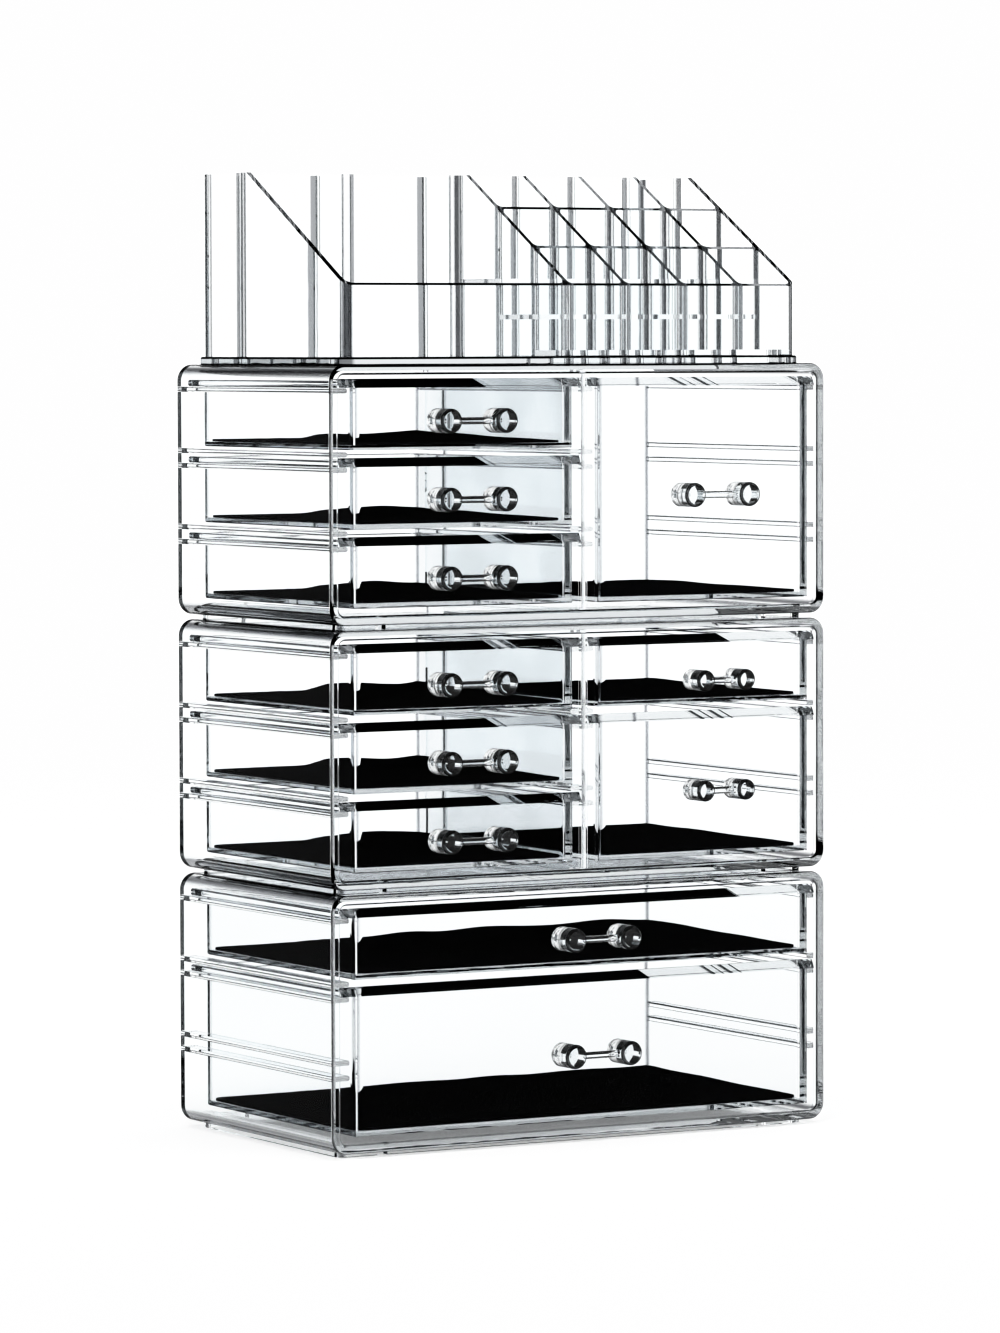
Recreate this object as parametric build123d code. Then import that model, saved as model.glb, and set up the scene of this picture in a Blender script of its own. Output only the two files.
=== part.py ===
from build123d import *
import os

# Stackable clear acrylic drawer organiser: three moulded cases, eleven drawers that
# hang by their top flanges between moulded rails, and a stepped cosmetics tray on top.
# Millimetres, +Z up, front faces -Y.  While modelling, X runs 0..W from the left wall,
# Y runs 0..D from the front rim to the back wall and Z is 0 at the underside of the
# bottom case; every piece is moved to the part frame when it is written.

# ---------------------------------------------------------------- driving sizes
W = 240.0            # case width
D = 135.0            # case depth
H = 106.3            # case height
PITCH = 108.3        # case to case
FOOT = PITCH - H     # height of the stacking ridge under each case
WALL = 2.4           # case wall
RO = 7.0             # outer corner radius of the case tube
RI = 3.0             # inner corner radius of the front opening
RIM = 4.0            # thickness of the front rim
RIM_D = 2.8          # depth of the thicker front rim
RIB = 7.0            # how far a rail stands in from the left side wall
RIB_RIGHT = 5.2      # and from the right side wall
RIB_T = 2.2          # thickness of one rail
RAIL_R = 1.0         # rounding of a rail's long edges
ROOT = 1.2           # a rail is rooted this deep in its wall
EDGE_R = 0.9         # rounding of the case's outer front edge
CELL = 32.3          # module height
LIP_TOP = 100.7      # top of an upper drawer's flange above the case bottom
LIP_H = 3.7          # height of the front lip
FLG_T = 2.7          # thickness of the side and back flange
FLG_R = 1.0          # rounding of the flange's outer edge
DRW_H = 29.1         # height of a one-cell drawer

DIV = 2.4            # upright divider thickness
DIV_X = 121.4        # its middle
DIV_NOSE = 2.9       # thickness of its rounded front edge
DIV_RIB = 4.4        # rails on the divider

DRW_WALL = 2.0       # drawer wall
DRW_FLOOR = 2.0      # drawer floor
DRW_FRONT = 2.6      # drawer front panel
DRW_RO = 3.4         # outer corner radius of the drawer in plan
DRW_RI = 2.6         # inner corner radius of the drawer in plan
LIP_Y = 3.4          # depth of the front lip
LIP_SLOPE = 2.0      # how far its polished front face leans back
LINER = 1.6          # black felt liner

POST_L = 12.6        # handle post length
BAR_D = 3.0          # handle bar diameter

TR_X = 10.1          # tray inset from the case sides
TR_Y = 5.6           # tray inset from the case front and back
TR_R = 5.5           # tray front corner radius
TR_W = 2.2           # tray outer wall
TR_P = 1.8           # tray partition
TR_BASE = 3.2        # tray base plate
FLANGE = 1.8         # base plate stands out by this
Z_FRONT = 32.6       # tray front wall height above the top case
Z_BACK = 80.4        # tray back height above the top case
Y_SLOPE = 90.4       # the side walls and partitions are level behind this
Y_CROSS = 96.8       # full-height cross wall, front face
CROSS_T = 2.2
X_LIP = 116.4        # left wall of the lipstick block, left face
ROW_WALL = [34.2, 64.0]          # front faces of the two row walls
ROW_FLOOR = [5.7, 20.7, 36.0]    # stepped floors above the top case
X_BACK = [62.2, 114.6]           # back row uprights, left faces

Y_FRONT = 0.8        # front face of a closed drawer, just inside the rim
Y_BACK = D - WALL - 1.0
CEIL = H - RIM       # top of the front opening
IN_F, IN_C = WALL + 0.4, H - WALL      # inside floor and roof behind the rim
Y_SHIFT = (POST_L - Y_FRONT) / 2       # bounding box is centred with the handles counted

parts = {}


def place(p):
    """Shift from modelling position to the part frame (base centre at the floor)."""
    return p.moved(Location((-W / 2, -D / 2 + Y_SHIFT, FOOT)))


def box(x0, x1, y0, y1, z0, z1):
    return Pos((x0 + x1) / 2, (y0 + y1) / 2, (z0 + z1) / 2) * Box(x1 - x0, y1 - y0, z1 - z0)


def slab_xz(x0, x1, z0, z1, r, y0, y1):
    """Rounded rectangle in XZ pushed from y0 to y1."""
    sk = Plane(origin=((x0 + x1) / 2, y1, (z0 + z1) / 2), x_dir=(1, 0, 0), z_dir=(0, -1, 0)) * RectangleRounded(x1 - x0, z1 - z0, r)
    return extrude(sk, y1 - y0)


def pocket(x0, x1, y0, y1, z0, z1, r):
    """Rounded rectangle in XY pushed from z0 to z1."""
    sk = Pos((x0 + x1) / 2, (y0 + y1) / 2, z0) * RectangleRounded(x1 - x0, y1 - y0, r)
    return extrude(sk, z1 - z0)


def cyl_y(x, y0, y1, z, d):
    return Pos(x, (y0 + y1) / 2, z) * Rot(90, 0, 0) * Cylinder(d / 2, y1 - y0)


def cyl_x(x0, x1, y, z, d):
    return Pos((x0 + x1) / 2, y, z) * Rot(0, 90, 0) * Cylinder(d / 2, x1 - x0)


def one(p):
    s = p.solids()
    return s[0] if len(s) == 1 else Compound(children=list(s))


# ---------------------------------------------------------------- rail levels
# a drawer's flange runs in the slot above a low rail; the high rail of a pair is
# what keeps the flange from tipping up when the drawer is pulled out
LOW = [LIP_TOP - LIP_H - 0.1 - k * CELL for k in range(3)]       # top faces
HIGH = [LIP_TOP + 0.3 - k * CELL for k in (1, 2)]                # bottom faces


def rails(x0, x1, y0, y1, z):
    r = None
    for t in LOW:
        b = slab_xz(x0, x1, z + t - RIB_T, z + t, RAIL_R, y0, y1)
        r = b if r is None else r + b
    for t in HIGH:
        r += slab_xz(x0, x1, z + t, z + t + RIB_T, RAIL_R, y0, y1)
    return r


def make_case(z, split):
    tube = slab_xz(0, W, 0, H, RO, 0, D)
    tube = fillet(tube.edges().filter_by_position(Axis.Y, -0.01, 0.01), EDGE_R)
    tube = fillet(tube.edges().filter_by_position(Axis.Y, D - 0.01, D + 0.01), 0.8)
    tube -= slab_xz(WALL, W - WALL, IN_F, IN_C, RO - WALL, RIM_D, D - WALL)
    tube -= slab_xz(RIM, W - RIM, RIM, CEIL, RI, -1, RIM_D + 1)
    rim = tube.edges().filter_by_position(Axis.Y, -0.01, 0.01).filter_by_position(Axis.Z, RIM - 0.1, CEIL + 0.1)
    inner = [e for e in rim if e.center().X > RIM - 0.1 and e.center().X < W - RIM + 0.1]
    tube = fillet(inner, 0.9)
    c = tube
    c += rails(WALL - ROOT, WALL + RIB, RIM_D - 0.4, D - WALL + 0.3, 0)
    c += rails(W - WALL - RIB_RIGHT, W - WALL + ROOT, RIM_D - 0.4, D - WALL + 0.3, 0)
    # stacking ridge under the floor, with a notch near each corner
    ridge = pocket(6.5, W - 6.5, 6.5, D - 6.5, -FOOT, 0.5, 5.0) - pocket(10.0, W - 10.0, 10.0, D - 10.0, -FOOT - 1, 1.0, 2.5)
    for x in (27.5, W - 27.5):
        ridge -= box(x - 1.8, x + 1.8, -1, D + 1, -FOOT - 1, 0)
    c += ridge
    if split:
        # guide ribs that hold the upright divider, on floor and roof
        for a, b in ((DX0 - 1.9, DX0 - 0.15), (DX1 + 0.15, DX1 + 1.9)):
            c += box(a, b, RIM_D + 6, D - WALL + 0.3, IN_F - 0.3, IN_F + 1.2)
            c += box(a, b, RIM_D + 6, D - WALL + 0.3, IN_C - 1.3, IN_C + 0.3)
    return c.moved(Location((0, 0, z)))


DX0, DX1 = DIV_X - DIV / 2, DIV_X + DIV / 2
CASE_Z = [0.0, PITCH, 2 * PITCH]
CASES = ["case_bottom", "case_middle", "case_top"]
for i, name in enumerate(CASES):
    parts[name] = one(make_case(CASE_Z[i], i > 0))


# ---------------------------------------------------------------- upright dividers
def make_divider(z):
    d = box(DX0, DX1, RIM_D + 0.4, D - WALL - 0.3, z + IN_F + 0.15, z + IN_C - 0.15)
    nose = box(DIV_X - DIV_NOSE / 2, DIV_X + DIV_NOSE / 2, 0.5, RIM_D + 1.0, z + RIM + 0.25, z + CEIL - 0.25)
    d += fillet(nose.edges().filter_by(Axis.Z).sort_by(Axis.Y)[:2], 1.3)
    d += rails(DX0 - DIV_RIB, DX0 + ROOT - 0.1, RIM_D + 0.8, D - WALL - 0.3, z)
    d += rails(DX1 - ROOT + 0.1, DX1 + DIV_RIB, RIM_D + 0.8, D - WALL - 0.3, z)
    return d


parts["divider_middle"] = one(make_divider(CASE_Z[1]))
parts["divider_top"] = one(make_divider(CASE_Z[2]))

# ---------------------------------------------------------------- drawers
# name: unit, side, top cell, cells tall, handle: middle, post spacing, post diameter, drop
FRONT_X = {"left": (11.0, 115.2), "right": (127.6, 231.8), "wide": (11.0, 231.8)}
LIP_X = {"left": (4.7, DIV_X - 1.8), "right": (DIV_X + 1.8, W - 4.7), "wide": (4.7, W - 4.7)}
DRAWERS = {
    "wide_upper": (0, "wide", 0, 1, 123.2, 27.0, 10.2, 0.0),
    "wide_lower": (0, "wide", 1, 2, 123.2, 27.0, 10.2, 0.0),
    "middle_left_1": (1, "left", 0, 1, 64.0, 26.4, 10.2, 0.3),
    "middle_left_2": (1, "left", 1, 1, 64.0, 26.4, 10.2, 0.3),
    "middle_left_3": (1, "left", 2, 1, 64.0, 26.4, 10.2, 0.3),
    "middle_right_upper": (1, "right", 0, 1, 183.6, 20.0, 8.8, 2.0),
    "middle_right_lower": (1, "right", 1, 2, 183.6, 20.0, 8.8, 0.0),
    "top_left_1": (2, "left", 0, 1, 64.0, 26.4, 10.2, 0.3),
    "top_left_2": (2, "left", 1, 1, 64.0, 26.4, 10.2, 0.3),
    "top_left_3": (2, "left", 2, 1, 64.0, 26.4, 10.2, 0.3),
    "top_right_full": (2, "right", 0, 3, 182.0, 27.0, 10.2, 0.0),
}


def make_drawer(fx, lx, zb, zt, handles, hz):
    x0, x1 = fx
    zl = zt - LIP_H
    body = pocket(x0, x1, Y_FRONT, Y_BACK - 1.2, zb, zt - 1.0, DRW_RO)
    body = chamfer(body.edges().filter_by_position(Axis.Z, zb - 0.01, zb + 0.01), 0.5)
    front = box(x0, x1, Y_FRONT, Y_FRONT + DRW_FRONT, zb, zt)
    front = fillet(front.edges().filter_by(Axis.Z).sort_by(Axis.Y)[:2], 0.5)
    flange = pocket(lx[0], lx[1], Y_FRONT, Y_BACK, zl, zl + FLG_T, 1.2)
    flange = fillet(flange.edges().filter_by_position(Axis.Z, zl - 0.01, zl + 0.01) + flange.edges().filter_by_position(Axis.Z, zl + FLG_T - 0.01, zl + FLG_T + 0.01), FLG_R)
    lip = box(lx[0], lx[1], Y_FRONT, Y_FRONT + LIP_Y, zl, zt)
    d = body + front + flange + lip
    d -= pocket(x0 + DRW_WALL, x1 - DRW_WALL, Y_FRONT + DRW_FRONT, Y_BACK - 1.2 - DRW_WALL, zb + DRW_FLOOR, zl + 0.01, DRW_RI)
    d -= pocket(x0 + DRW_WALL, x1 - DRW_WALL, Y_FRONT + LIP_Y, Y_BACK - 1.2 - DRW_WALL, zl - 0.01, zt + 5, DRW_RI)
    # the lip's front face leans back
    lean = Plane(origin=(lx[0] - 1, 0, 0), x_dir=(0, 1, 0), z_dir=(1, 0, 0)) * make_face(Polyline(
        (Y_FRONT - 0.5, zl), (Y_FRONT, zl), (Y_FRONT + LIP_SLOPE, zt), (Y_FRONT + LIP_SLOPE, zt + 1), (Y_FRONT - 0.5, zt + 1), close=True))
    d -= extrude(lean, lx[1] - lx[0] + 2)
    for hx in handles:
        d -= cyl_y(hx, Y_FRONT - 1, Y_FRONT + DRW_FRONT + 1, hz, 3.2)
    return d


def make_handle(handles, hz, post):
    h = None
    for hx in handles:
        p = cyl_y(hx, Y_FRONT - POST_L, Y_FRONT - 0.02, hz, post)
        p = fillet(p.edges().filter_by(GeomType.CIRCLE).sort_by(Axis.Y)[0], 1.5)
        p += cyl_y(hx, Y_FRONT - 0.5, Y_FRONT + DRW_FRONT - 0.2, hz, 3.1)
        h = p if h is None else h + p
    h += cyl_x(handles[0], handles[1], Y_FRONT - POST_L + 3.4, hz, BAR_D)
    return h


def make_liner(fx, zb):
    z = zb + DRW_FLOOR + 0.03
    return pocket(fx[0] + DRW_WALL + 0.5, fx[1] - DRW_WALL - 0.5, Y_FRONT + DRW_FRONT + 0.5, Y_BACK - 1.2 - DRW_WALL - 0.5, z, z + LINER, 2.6)


for name, (u, side, first, count, hc, sp, post, drop) in DRAWERS.items():
    zt = CASE_Z[u] + LIP_TOP - CELL * first
    zb = zt - DRW_H - CELL * (count - 1)
    hz = (zt - LIP_H + zb) / 2 - 0.7 - drop
    hs = (hc - sp / 2, hc + sp / 2)
    fx, lx = FRONT_X[side], LIP_X[side]
    parts["drawer_" + name] = one(make_drawer(fx, lx, zb, zt, hs, hz))
    parts["handle_" + name] = one(make_handle(hs, hz, post))
    parts["liner_" + name] = one(make_liner(fx, zb))

# ---------------------------------------------------------------- cosmetics tray
ZT = 2 * PITCH + H               # top of the upper case
X0, X1, Y0, Y1 = TR_X, W - TR_X, TR_Y, D - TR_Y


def block(x0, x1, y0, y1, z0, z1, r, rb):
    b = box(x0, x1, y0, y1, z0, z1)
    b = fillet(b.edges().filter_by(Axis.Z).sort_by(Axis.Y)[:2], r)
    return fillet(b.edges().filter_by(Axis.Z).sort_by(Axis.Y)[-2:], rb)


tray = block(X0, X1, Y0, Y1, ZT, ZT + Z_BACK, TR_R, 2.0)
base = block(X0 - FLANGE, X1 + FLANGE, Y0 - FLANGE, Y1 + FLANGE, ZT, ZT + TR_BASE, TR_R + FLANGE, 3.0)
base = fillet(base.edges().filter_by_position(Axis.Z, ZT + TR_BASE - 0.01, ZT + TR_BASE + 0.01), 0.9)
tray += base
# sloping top line in front of the cross wall
slope = Plane(origin=(-5, 0, 0), x_dir=(0, 1, 0), z_dir=(1, 0, 0)) * make_face(Polyline(
    (-10, ZT + Z_FRONT), (Y0 + 0.5, ZT + Z_FRONT), (Y_SLOPE, ZT + Z_BACK), (Y_SLOPE, ZT + Z_BACK + 20), (-10, ZT + Z_BACK + 20), close=True))
tray -= extrude(slope, W + 20)
TOP = ZT + Z_BACK + 10
COL = (X1 - TR_W - X_LIP) / 4.0
POCKETS = []
# big front compartment, left
POCKETS.append(("big_front", X0 + TR_W, X_LIP, Y0 + TR_W, Y_CROSS, ZT + TR_BASE, 3.4))
# back row
edges = [X0 + TR_W] + X_BACK + [X1 - TR_W]
for i in range(3):
    a = edges[i] + (TR_P if i else 0)
    POCKETS.append(("back_%d" % (i + 1), a, edges[i + 1], Y_CROSS + CROSS_T, Y1 - TR_W, ZT + TR_BASE, 3.0))
# lipstick slots
ys = [(Y0 + TR_W, ROW_WALL[0]), (ROW_WALL[0] + TR_P, ROW_WALL[1]), (ROW_WALL[1] + TR_P, Y_CROSS)]
for r, (ya, yb) in enumerate(ys):
    for k in range(4):
        a = X_LIP + TR_P + k * COL
        b = a + COL - TR_P if k < 3 else X1 - TR_W
        POCKETS.append(("slot_%d%d" % (r + 1, k + 1), a, b, ya, yb, ZT + ROW_FLOOR[r], 2.2))
        if r:
            tray -= pocket(a, b, ya, yb, ZT - 1, ZT + ROW_FLOOR[r] - 2.0, 2.2)
for name, a, b, ya, yb, zf, rr in POCKETS:
    tray -= pocket(a, b, ya, yb, zf, TOP, rr)
parts["cosmetics_tray"] = one(tray)

# ---------------------------------------------------------------- write
os.makedirs("parts", exist_ok=True)
for name, p in parts.items():
    export_step(place(p), os.path.join("parts", name + ".step"))
print(len(parts), "pieces")
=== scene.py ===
import math
import random

import bmesh
import bpy
from mathutils import Matrix, Vector, noise


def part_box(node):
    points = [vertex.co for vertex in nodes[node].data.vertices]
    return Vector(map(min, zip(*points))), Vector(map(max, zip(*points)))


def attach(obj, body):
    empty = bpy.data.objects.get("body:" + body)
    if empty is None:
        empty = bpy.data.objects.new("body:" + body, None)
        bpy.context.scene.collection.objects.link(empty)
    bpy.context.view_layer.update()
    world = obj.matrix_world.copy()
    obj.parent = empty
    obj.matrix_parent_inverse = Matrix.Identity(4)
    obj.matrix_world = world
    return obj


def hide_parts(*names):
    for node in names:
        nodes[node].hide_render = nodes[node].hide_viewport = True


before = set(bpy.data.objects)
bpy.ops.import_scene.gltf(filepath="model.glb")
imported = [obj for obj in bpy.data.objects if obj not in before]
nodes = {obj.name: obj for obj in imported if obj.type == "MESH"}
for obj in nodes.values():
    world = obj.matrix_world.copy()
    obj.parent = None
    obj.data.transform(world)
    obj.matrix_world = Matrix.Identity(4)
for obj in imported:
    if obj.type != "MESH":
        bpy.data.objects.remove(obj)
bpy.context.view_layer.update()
scene = bpy.context.scene

# ------------------------------------------------------------------ camera
W, D, FOOT, Y_SHIFT = 0.240, 0.135, 0.002, 0.0059
CAM = Vector((-1.22018 - W / 2, -2.22421 - D / 2 + Y_SHIFT, 0.33347 + FOOT))
yaw, pitch, roll = 0.528917, 0.0524917, -0.00256336
fwd0 = Vector((math.sin(yaw), math.cos(yaw), 0))
right0 = Vector((math.cos(yaw), -math.sin(yaw), 0))
up0 = Vector((0, 0, 1))
fwd = fwd0 * math.cos(pitch) - up0 * math.sin(pitch)
up1 = up0 * math.cos(pitch) + fwd0 * math.sin(pitch)
right = right0 * math.cos(roll) + up1 * math.sin(roll)
up = -right0 * math.sin(roll) + up1 * math.cos(roll)
cam_data = bpy.data.cameras.new("camera")
cam = bpy.data.objects.new("camera", cam_data)
scene.collection.objects.link(cam)
m = Matrix((right, up, -fwd)).transposed().to_4x4()
m.translation = CAM
cam.matrix_world = m
cam_data.sensor_fit = "VERTICAL"
cam_data.sensor_height = 36.0
cam_data.lens = 36.0 * 6239.65 / 1333.0
cam_data.clip_start = 0.05
cam_data.clip_end = 60.0
scene.camera = cam

scene.view_settings.view_transform = "Standard"
scene.view_settings.look = "None"
scene.view_settings.exposure = 0.0
scene.view_settings.use_curve_mapping = True
curve = scene.view_settings.curve_mapping
tone = curve.curves[3]
tone.points[0].location = (0.0, 0.0)
tone.points[-1].location = (1.0, 1.0)
for x, y in ((0.04, 0.014), (0.12, 0.08), (0.3, 0.3), (0.6, 0.76), (0.8, 0.98)):
    tone.points.new(x, y)
curve.update()
scene.cycles.max_bounces = 140
scene.cycles.transmission_bounces = 140
scene.cycles.glossy_bounces = 140
scene.cycles.diffuse_bounces = 3
scene.cycles.transparent_max_bounces = 32
scene.cycles.caustics_reflective = True
scene.cycles.caustics_refractive = True
scene.cycles.blur_glossy = 0.0
scene.cycles.sample_clamp_indirect = 6.0

# ------------------------------------------------------------------ helpers


def new_material(name):
    mat = bpy.data.materials.new(name)
    mat.use_nodes = True
    nt = mat.node_tree
    nt.nodes.clear()
    return mat, nt


def link(nt, a, b):
    nt.links.new(a, b)


def node(nt, kind, **kw):
    n = nt.nodes.new(kind)
    for k, v in kw.items():
        setattr(n, k, v)
    return n


def acrylic(name, tint=(0.985, 0.99, 0.992), density=9.0, ripple=0.02, mirror=0.985, power=2.3, dark=0.75, knee=0.74, edge=0.48, tilt=0.72, shade=None, turned=False):
    """Clear moulded acrylic: it bends light, has a faint moulding ripple, loses light along
    the sheet, and part of the light trapped inside its edges is lost, which is what makes
    the edges read dark against white. mirror is what a full reflection returns, power above
    1 takes the faint head-on reflections down, and edge is the painted shade colour laid on
    rounded moulded edges and sloping cuts, while flat faces stay clear. shade is painted shade
    in uneven patches on the right wall of a drawer, and turned is the handles' way: painted
    shade on the rounded front edge, and a spotty hazy patch where the post is cemented to the drawer."""
    mat, nt = new_material(name)
    out = node(nt, "ShaderNodeOutputMaterial")
    rf = node(nt, "ShaderNodeBsdfRefraction")
    rf.inputs["IOR"].default_value = 1.49
    rf.inputs["Roughness"].default_value = 0.0
    gl = node(nt, "ShaderNodeBsdfGlossy")
    gl.inputs["Roughness"].default_value = 0.0
    gl.inputs["Color"].default_value = (mirror, mirror, mirror, 1)
    fr = node(nt, "ShaderNodeFresnel")
    fr.inputs["IOR"].default_value = 1.49
    pw = node(nt, "ShaderNodeMath", operation="POWER")
    pw.inputs[1].default_value = power
    link(nt, fr.outputs["Fac"], pw.inputs[0])
    vol = node(nt, "ShaderNodeVolumeAbsorption")
    vol.inputs["Color"].default_value = (0.30, 0.33, 0.35, 1)
    vol.inputs["Density"].default_value = density
    # painted grazing shade: faces seen at a glance are painted darker, towards the dark colour
    lw = node(nt, "ShaderNodeLayerWeight")
    lw.inputs["Blend"].default_value = 0.5
    ramp = node(nt, "ShaderNodeValToRGB")
    ramp.color_ramp.interpolation = "EASE"
    ramp.color_ramp.elements[0].position = knee
    ramp.color_ramp.elements[0].color = (*tint, 1)
    ramp.color_ramp.elements[1].position = 1.0
    ramp.color_ramp.elements[1].color = (dark, dark * 1.02, dark * 1.04, 1)
    link(nt, lw.outputs["Facing"], ramp.inputs["Fac"])
    tc = node(nt, "ShaderNodeTexCoord")
    # how far the face turns away from the three main directions
    sep = node(nt, "ShaderNodeSeparateXYZ")
    link(nt, tc.outputs["Normal"], sep.inputs[0])
    ab = []
    for axis in "XYZ":
        n = node(nt, "ShaderNodeMath", operation="ABSOLUTE")
        link(nt, sep.outputs[axis], n.inputs[0])
        ab.append(n)
    m1 = node(nt, "ShaderNodeMath", operation="MAXIMUM")
    m2 = node(nt, "ShaderNodeMath", operation="MAXIMUM")
    link(nt, ab[0].outputs[0], m1.inputs[0])
    link(nt, ab[1].outputs[0], m1.inputs[1])
    link(nt, m1.outputs[0], m2.inputs[0])
    link(nt, ab[2].outputs[0], m2.inputs[1])
    # painted edge shade: faces turned away from the main directions are mixed towards the edge colour
    turn = node(nt, "ShaderNodeMapRange")
    turn.interpolation_type = "SMOOTHSTEP"
    turn.inputs["From Min"].default_value = 0.995
    turn.inputs["From Max"].default_value = tilt
    link(nt, m2.outputs[0], turn.inputs["Value"])
    edge_shade_mix = node(nt, "ShaderNodeMix", data_type="RGBA", blend_type="MIX")
    if not turned:
        link(nt, turn.outputs["Result"], edge_shade_mix.inputs[0])
    link(nt, ramp.outputs["Color"], edge_shade_mix.inputs[6])
    edge_shade_mix.inputs[7].default_value = (edge, edge * 1.01, edge * 1.03, 1)
    gen = node(nt, "ShaderNodeSeparateXYZ")
    link(nt, tc.outputs["Generated"], gen.inputs[0])

    def span(value, a, b):
        n = node(nt, "ShaderNodeMapRange")
        n.interpolation_type = "SMOOTHSTEP"
        n.inputs["From Min"].default_value = a
        n.inputs["From Max"].default_value = b
        link(nt, value, n.inputs["Value"])
        return n.outputs["Result"]

    def both(a, b, operation="MULTIPLY"):
        n = node(nt, "ShaderNodeMath", operation=operation)
        link(nt, a, n.inputs[0])
        link(nt, b, n.inputs[1])
        return n.outputs[0]

    last = edge_shade_mix.outputs[2]
    if turned:
        # painted shade ring on the handle's rounded front edge; foot is the spotty cemented patch at the
        # post's base
        rim = both(both(span(ab[1].outputs[0], 0.10, 0.35), span(ab[1].outputs[0], 0.995, 0.93)), span(gen.outputs["Y"], 0.125, 0.105))
        spot = node(nt, "ShaderNodeTexNoise")
        spot.inputs["Scale"].default_value = 420.0
        spot.inputs["Detail"].default_value = 1.5
        link(nt, tc.outputs["Object"], spot.inputs["Vector"])
        foot = both(both(span(gen.outputs["Y"], 0.66, 0.72), span(gen.outputs["Y"], 0.86, 0.84)), both(span(spot.outputs["Fac"], 0.30, 0.85), span(ab[1].outputs[0], 0.3, 0.1)))
        link(nt, both(rim, foot, "MAXIMUM"), edge_shade_mix.inputs[0])
    # painted shade in uneven patches on the drawer's right wall
    if shade is not None:
        wall_shade_patches = node(nt, "ShaderNodeTexNoise")
        wall_shade_patches.inputs["Scale"].default_value = 22.0
        wall_shade_patches.inputs["Detail"].default_value = 1.0
        link(nt, tc.outputs["Object"], wall_shade_patches.inputs["Vector"])
        tone = node(nt, "ShaderNodeMix", data_type="RGBA", blend_type="MIX")
        link(nt, span(wall_shade_patches.outputs["Fac"], 0.35, 0.65), tone.inputs[0])
        tone.inputs[6].default_value = (shade, shade * 1.005, shade * 1.01, 1)
        tone.inputs[7].default_value = (shade + 0.05, shade + 0.05, shade + 0.055, 1)
        grey = node(nt, "ShaderNodeMix", data_type="RGBA", blend_type="MULTIPLY")
        link(nt, both(span(gen.outputs["X"], 0.925, 0.93), span(ab[0].outputs[0], 0.9, 0.98)), grey.inputs[0])
        link(nt, last, grey.inputs[6])
        link(nt, tone.outputs[2], grey.inputs[7])
        last = grey.outputs[2]
    link(nt, last, rf.inputs["Color"])
    nz = node(nt, "ShaderNodeTexNoise")
    nz.inputs["Scale"].default_value = 38.0
    nz.inputs["Detail"].default_value = 2.0
    bump = node(nt, "ShaderNodeBump")
    bump.inputs["Strength"].default_value = ripple
    bump.inputs["Distance"].default_value = 0.002
    link(nt, tc.outputs["Object"], nz.inputs["Vector"])
    link(nt, nz.outputs["Fac"], bump.inputs["Height"])
    link(nt, bump.outputs["Normal"], gl.inputs["Normal"])
    link(nt, bump.outputs["Normal"], rf.inputs["Normal"])
    mix = node(nt, "ShaderNodeMixShader")
    link(nt, pw.outputs[0], mix.inputs["Fac"])
    link(nt, rf.outputs["BSDF"], mix.inputs[1])
    link(nt, gl.outputs["BSDF"], mix.inputs[2])
    link(nt, mix.outputs[0], out.inputs["Surface"])
    link(nt, vol.outputs["Volume"], out.inputs["Volume"])
    return mat


def felt(name):
    """Short-pile black liner: close needle-felt grain with a faint uneven variation in tone."""
    mat, nt = new_material(name)
    out = node(nt, "ShaderNodeOutputMaterial")
    p = node(nt, "ShaderNodeBsdfPrincipled")
    p.inputs["Roughness"].default_value = 0.92
    p.inputs["Specular IOR Level"].default_value = 0.0
    p.inputs["Sheen Weight"].default_value = 0.01
    p.inputs["Sheen Roughness"].default_value = 0.5
    tc = node(nt, "ShaderNodeTexCoord")
    fine = node(nt, "ShaderNodeTexNoise")
    fine.inputs["Scale"].default_value = 2600.0
    fine.inputs["Detail"].default_value = 3.0
    pile = node(nt, "ShaderNodeTexVoronoi")
    pile.inputs["Scale"].default_value = 900.0
    cloud = node(nt, "ShaderNodeTexNoise")
    cloud.inputs["Scale"].default_value = 55.0
    cloud.inputs["Detail"].default_value = 4.0
    for n in (fine, pile, cloud):
        link(nt, tc.outputs["Object"], n.inputs["Vector"])
    mixv = node(nt, "ShaderNodeMath", operation="MULTIPLY_ADD")
    link(nt, fine.outputs["Fac"], mixv.inputs[0])
    mixv.inputs[1].default_value = 0.6
    link(nt, pile.outputs["Distance"], mixv.inputs[2])
    ramp = node(nt, "ShaderNodeValToRGB")
    ramp.color_ramp.elements[0].position = 0.30
    ramp.color_ramp.elements[0].color = (0.003, 0.003, 0.0034, 1)
    ramp.color_ramp.elements[1].position = 0.95
    ramp.color_ramp.elements[1].color = (0.011, 0.011, 0.0125, 1)
    link(nt, mixv.outputs[0], ramp.inputs["Fac"])
    mixc = node(nt, "ShaderNodeMix", data_type="RGBA", blend_type="MULTIPLY")
    mixc.inputs[0].default_value = 0.5
    link(nt, ramp.outputs["Color"], mixc.inputs[6])
    link(nt, cloud.outputs["Color"], mixc.inputs[7])
    link(nt, mixc.outputs[2], p.inputs["Base Color"])
    bump = node(nt, "ShaderNodeBump")
    bump.inputs["Strength"].default_value = 0.5
    bump.inputs["Distance"].default_value = 0.0004
    link(nt, mixv.outputs[0], bump.inputs["Height"])
    link(nt, bump.outputs["Normal"], p.inputs["Normal"])
    link(nt, p.outputs["BSDF"], out.inputs["Surface"])
    return mat


MAT_CASE = acrylic("acrylic_case", density=5.0, edge=0.46)
# the upright dividers are cut from bright sheet; they get only light painted edge shade and painted grazing
# shade
MAT_DIVIDER = acrylic("acrylic_divider", density=2.5, mirror=1.0, power=1.2, dark=0.92, edge=0.85)
MAT_DRAWER = acrylic("acrylic_drawer", density=7.0, edge=0.6)
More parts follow.
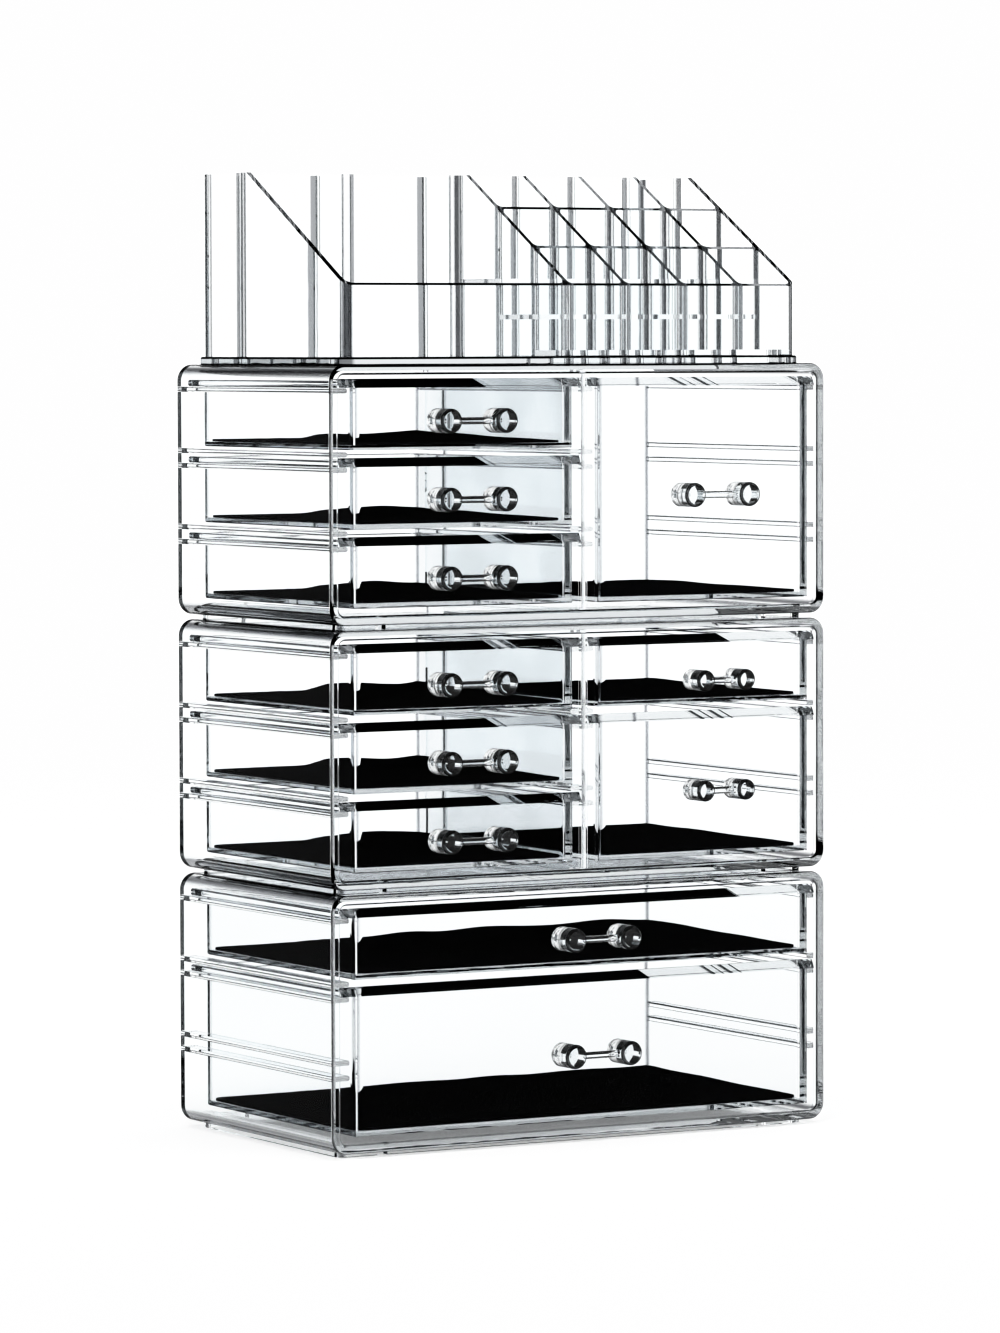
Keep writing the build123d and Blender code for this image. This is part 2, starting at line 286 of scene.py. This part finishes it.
# the small left drawers carry painted shade on their right wall
MAT_DRAWER_LEFT = acrylic("acrylic_drawer_left", density=7.0, edge=0.6, shade=0.845)
# handles: strong painted shade on the rounded front edge and at glancing angles
MAT_HANDLE = acrylic("acrylic_handle", density=14.0, ripple=0.01, mirror=0.98, power=1.1, dark=0.6, knee=0.7, edge=0.10, turned=True)
MAT_TRAY = acrylic("acrylic_tray", density=5.0, edge=0.38, tilt=0.90)
MAT_FELT = felt("liner_felt")


def paint(obj, mat):
    if obj.data.materials:
        for i in range(len(obj.data.materials)):
            obj.data.materials[i] = mat
    else:
        obj.data.materials.append(mat)


def smooth(obj, angle=40.0):
    me = obj.data
    for p in me.polygons:
        p.use_smooth = True
    me.set_sharp_from_angle(angle=math.radians(angle))


for name, obj in nodes.items():
    if name.startswith("handle_"):
        paint(obj, MAT_HANDLE)
    elif name.startswith("drawer_"):
        paint(obj, MAT_DRAWER_LEFT if "_left_" in name else MAT_DRAWER)
    elif name == "cosmetics_tray":
        paint(obj, MAT_TRAY)
    elif name.startswith("divider_"):
        paint(obj, MAT_DIVIDER)
    elif not name.startswith("liner_"):
        paint(obj, MAT_CASE)
    smooth(obj, 32.0)

# ------------------------------------------------------------------ liners


# how far the back edge of each mat has curled up, mm; the small left drawers' mats are worst
CURL = {"wide_upper": 2.3, "wide_lower": 1.0, "middle_right_upper": 0.15, "middle_right_lower": 0.3, "top_right_full": 0.25}


def liner(name, seed):
    lo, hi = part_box("liner_" + name)
    rnd = random.Random(seed)
    ph = [rnd.uniform(0, 6.28) for _ in range(8)]
    wx, wy = hi.x - lo.x, hi.y - lo.y
    nx, ny = max(24, int(wx / 0.003)), max(24, int(wy / 0.003))
    T = 0.0009
    bm = bmesh.new()

    wide = wx > 0.15

    def lift(u, v):
        """height of the mat's underside above the drawer floor: flat along the front and
        the left side, with the back edge curled up in a few waves"""
        x, y = u * wx * 1000, v * wy * 1000
        run = min(1.0, max(0.0, (u - 0.10) / 0.45 if wide else (u - 0.45) / 0.14))
        run = 0.04 * u + 0.96 * run * run * (3 - 2 * run)
        back = v ** 1.4
        wave = 0.78 + 0.22 * math.sin(x * 0.13 + ph[0] + 0.7 * math.sin(x * 0.05 + ph[1]))
        h = CURL.get(name, 2.7) * run * back * wave
        h += 0.25 * (0.5 + 0.5 * math.sin(y * 0.08 + ph[2]) * math.sin(x * 0.06 + ph[3])) * (1 - (2 * u - 1) ** 2) * (1 - (2 * v - 1) ** 2)
        e = max(0.0, 1 - (1 - u) * wx * 1000 / 12.0) ** 2
        h += 0.5 * e * v * (0.5 + 0.5 * math.sin(y * 0.11 + ph[4]))
        return h / 1000

    def outline(u, v):
        """position in plan, the cut edge is a little uneven"""
        dx = 0.0004 * math.sin(v * 9 + ph[6]) * (1 if u > 0.5 else -1)
        dy = 0.0004 * math.sin(u * 13 + ph[7]) * (1 if v > 0.5 else -1)
        k = 0.0002
        return lo.x + k + u * (wx - 2 * k) + dx * (abs(u - 0.5) * 2) ** 8 * 0.5, lo.y + k + v * (wy - 2 * k) + dy * (abs(v - 0.5) * 2) ** 8 * 0.5

    R = 0.006

    def rounded(u, v):
        """pull the four corners in to a radius"""
        x, y = outline(u, v)
        cx = min(max(x, lo.x + R), hi.x - R)
        cy = min(max(y, lo.y + R), hi.y - R)
        dx, dy = x - cx, y - cy
        if abs(dx) > 1e-9 and abs(dy) > 1e-9:
            big = max(abs(dx), abs(dy))
            l = math.hypot(dx, dy)
            x, y = cx + dx / l * big, cy + dy / l * big
        return x, y

    grid = {}
    for side in (0, 1):
        for i in range(nx + 1):
            for j in range(ny + 1):
                u, v = i / nx, j / ny
                x, y = rounded(u, v)
                z = lo.z + 0.0001 + lift(u, v) + (T if side else 0)
                grid[side, i, j] = bm.verts.new((x, y, z))
    for i in range(nx):
        for j in range(ny):
            bm.faces.new([grid[1, i, j], grid[1, i + 1, j], grid[1, i + 1, j + 1], grid[1, i, j + 1]])
            bm.faces.new([grid[0, i, j], grid[0, i, j + 1], grid[0, i + 1, j + 1], grid[0, i + 1, j]])
    ring = [(i, 0) for i in range(nx)] + [(nx, j) for j in range(ny)] + [(i, ny) for i in range(nx, 0, -1)] + [(0, j) for j in range(ny, 0, -1)]
    for a, b in zip(ring, ring[1:] + ring[:1]):
        bm.faces.new([grid[0, a[0], a[1]], grid[0, b[0], b[1]], grid[1, b[0], b[1]], grid[1, a[0], a[1]]])
    bmesh.ops.recalc_face_normals(bm, faces=bm.faces)
    me = bpy.data.meshes.new("felt_" + name)
    bm.to_mesh(me)
    bm.free()
    obj = bpy.data.objects.new("felt_" + name, me)
    scene.collection.objects.link(obj)
    me.materials.append(MAT_FELT)
    smooth(obj, 50.0)
    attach(obj, "drawer_" + name)
    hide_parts("liner_" + name)
    return obj


for k, name in enumerate(sorted(n[6:] for n in nodes if n.startswith("liner_"))):
    liner(name, 31 + k)

# ------------------------------------------------------------------ stage and light
bm = bmesh.new()
bmesh.ops.create_circle(bm, cap_ends=True, segments=96, radius=3.0)
me = bpy.data.meshes.new("floor")
bm.to_mesh(me)
bm.free()
floor = bpy.data.objects.new("floor", me)
scene.collection.objects.link(floor)
floor.location = (0, 0, -0.0002)
mat, nt = new_material("floor_white")
out = node(nt, "ShaderNodeOutputMaterial")
dif = node(nt, "ShaderNodeBsdfDiffuse")
dif.inputs["Color"].default_value = (0.78, 0.78, 0.78, 1)
em = node(nt, "ShaderNodeEmission")
em.inputs["Color"].default_value = (1, 1, 1, 1)
em.inputs["Strength"].default_value = 0.36
add = node(nt, "ShaderNodeAddShader")
tr = node(nt, "ShaderNodeBsdfTransparent")
mix = node(nt, "ShaderNodeMixShader")
tc = node(nt, "ShaderNodeTexCoord")
ln = node(nt, "ShaderNodeVectorMath", operation="LENGTH")
mr = node(nt, "ShaderNodeMapRange")
mr.interpolation_type = "SMOOTHSTEP"
mr.inputs["From Min"].default_value = 0.5
mr.inputs["From Max"].default_value = 2.6
link(nt, tc.outputs["Object"], ln.inputs[0])
link(nt, ln.outputs["Value"], mr.inputs["Value"])
link(nt, dif.outputs[0], add.inputs[0])
link(nt, em.outputs[0], add.inputs[1])
link(nt, mr.outputs["Result"], mix.inputs["Fac"])
link(nt, add.outputs[0], mix.inputs[1])
link(nt, tr.outputs[0], mix.inputs[2])
link(nt, mix.outputs[0], out.inputs["Surface"])
me.materials.append(mat)

world = bpy.data.worlds.new("studio")
scene.world = world
world.use_nodes = True
nt = world.node_tree
nt.nodes.clear()
out = node(nt, "ShaderNodeOutputWorld")
bg = node(nt, "ShaderNodeBackground")
bg.inputs["Strength"].default_value = 1.0
tc = node(nt, "ShaderNodeTexCoord")
sep = node(nt, "ShaderNodeSeparateXYZ")
mr = node(nt, "ShaderNodeMapRange")
mr.inputs["From Min"].default_value = -1
mr.inputs["From Max"].default_value = 1
ramp = node(nt, "ShaderNodeValToRGB")
cr = ramp.color_ramp
cr.interpolation = "LINEAR"
# direction z = -1 .. 1 mapped to 0 .. 1
stops = [(0.0, 1.06), (0.5, 1.06), (0.5 + 0.5 * math.sin(math.radians(16)), 1.06),
         (0.5 + 0.5 * math.sin(math.radians(30)), 0.24), (0.5 + 0.5 * math.sin(math.radians(55)), 0.19),
         (0.5 + 0.5 * math.sin(math.radians(66)), 1.3), (1.0, 1.3)]
cr.elements[0].position = stops[0][0]
cr.elements[0].color = (stops[0][1],) * 3 + (1,)
cr.elements[1].position = stops[-1][0]
cr.elements[1].color = (stops[-1][1],) * 3 + (1,)
for p, v in stops[1:-1]:
    e = cr.elements.new(p)
    e.color = (v, v, v, 1)
link(nt, tc.outputs["Generated"], sep.inputs[0])
link(nt, sep.outputs["Z"], mr.inputs["Value"])
link(nt, mr.outputs["Result"], ramp.inputs["Fac"])
link(nt, ramp.outputs["Color"], bg.inputs["Color"])
link(nt, bg.outputs[0], out.inputs["Surface"])


def area(name, loc, size, power, target=(0, 0, 0.2)):
    l = bpy.data.lights.new(name, "AREA")
    l.energy = power
    l.size = size
    l.shape = "SQUARE"
    o = bpy.data.objects.new(name, l)
    scene.collection.objects.link(o)
    o.location = loc
    d = Vector(target) - Vector(loc)
    o.rotation_euler = d.to_track_quat("-Z", "Y").to_euler()
    return o


area("soft_left", (-1.3, -1.2, 1.3), 0.7, 9.0)
area("soft_right", (1.5, -0.9, 1.5), 0.7, 7.0)

bpy.context.view_layer.update()
